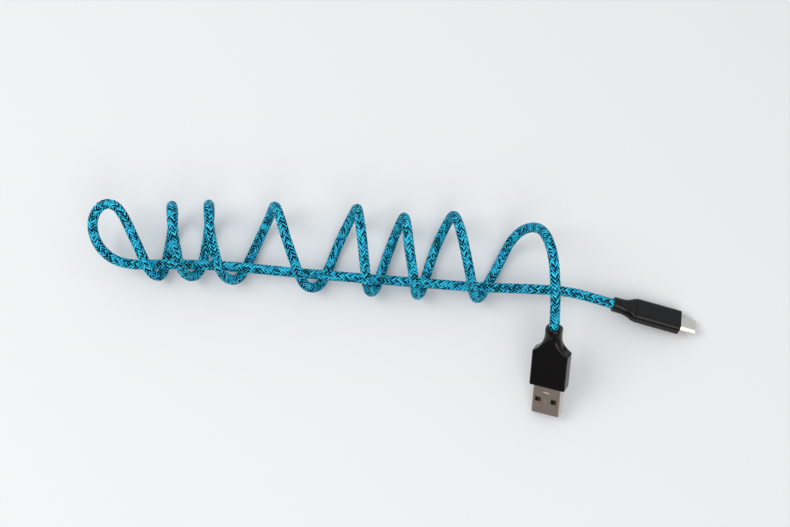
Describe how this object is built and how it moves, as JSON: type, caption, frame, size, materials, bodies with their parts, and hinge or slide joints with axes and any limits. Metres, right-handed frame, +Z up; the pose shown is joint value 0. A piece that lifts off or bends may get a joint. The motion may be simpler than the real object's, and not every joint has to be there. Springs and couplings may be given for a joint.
{
  "type": "braided micro usb cable",
  "caption": "Round textile-braided charging and data cable with a wide rectangular plug at one end and a small latching micro plug at the other, wound in open loops around its own run.",
  "frame": {"origin": "on the table, at the middle of the two plugs' joint footprint", "axes": "+Z up from the table, +X along the longer side of the plugs' footprint, from the wound end toward the small plug's nose, +Y away from the wide plug's nose"},
  "size_m": [0.2503, 0.0887, 0.0427],
  "materials": {
    "braid": "woven, cyan with black yarns",
    "black_moulding": "satin",
    "inner_moulding": "matte, natural",
    "steel": "satin nickel plating",
    "tongue_moulding": "matte",
    "contact_gold": "gold plated",
    "wire_red": "smooth",
    "wire_white": "smooth",
    "wire_green": "smooth",
    "wire_black": "smooth",
    "spring_steel": "smooth"
  },
  "bodies": {
    "cable": {"braided_cord": "braid", "micro_contact_data_minus": "contact_gold", "micro_contact_data_plus": "contact_gold", "micro_contact_ground": "contact_gold", "micro_contact_power": "contact_gold", "micro_contact_sense": "contact_gold", "micro_housing": "black_moulding", "micro_inner_mould": "inner_moulding", "micro_shell": "steel", "micro_strain_relief": "black_moulding", "micro_tongue": "tongue_moulding", "micro_wire_data_minus": "wire_white", "micro_wire_data_plus": "wire_green", "micro_wire_ground": "wire_black", "micro_wire_power": "wire_red", "wide_contact_data_minus": "contact_gold", "wide_contact_data_plus": "contact_gold", "wide_contact_ground": "contact_gold", "wide_contact_power": "contact_gold", "wide_housing": "black_moulding", "wide_inner_mould": "inner_moulding", "wide_shell": "steel", "wide_strain_relief": "black_moulding", "wide_tongue": "tongue_moulding", "wide_wire_data_minus": "wire_white", "wide_wire_data_plus": "wire_green", "wide_wire_ground": "wire_black", "wide_wire_power": "wire_red"},
    "latch": {"micro_latch_spring": "spring_steel"}
  },
  "joints": [
    {"name": "latch_press", "type": "hinge", "parent": "cable", "child": "latch", "pos_m": [0.02405, 0.01555, 0.00406], "axis": [-0.1784, -0.8869, 0.4261], "range_deg": [0, 3.2], "stiffness_Nm_per_rad": 0.05}
  ]
}
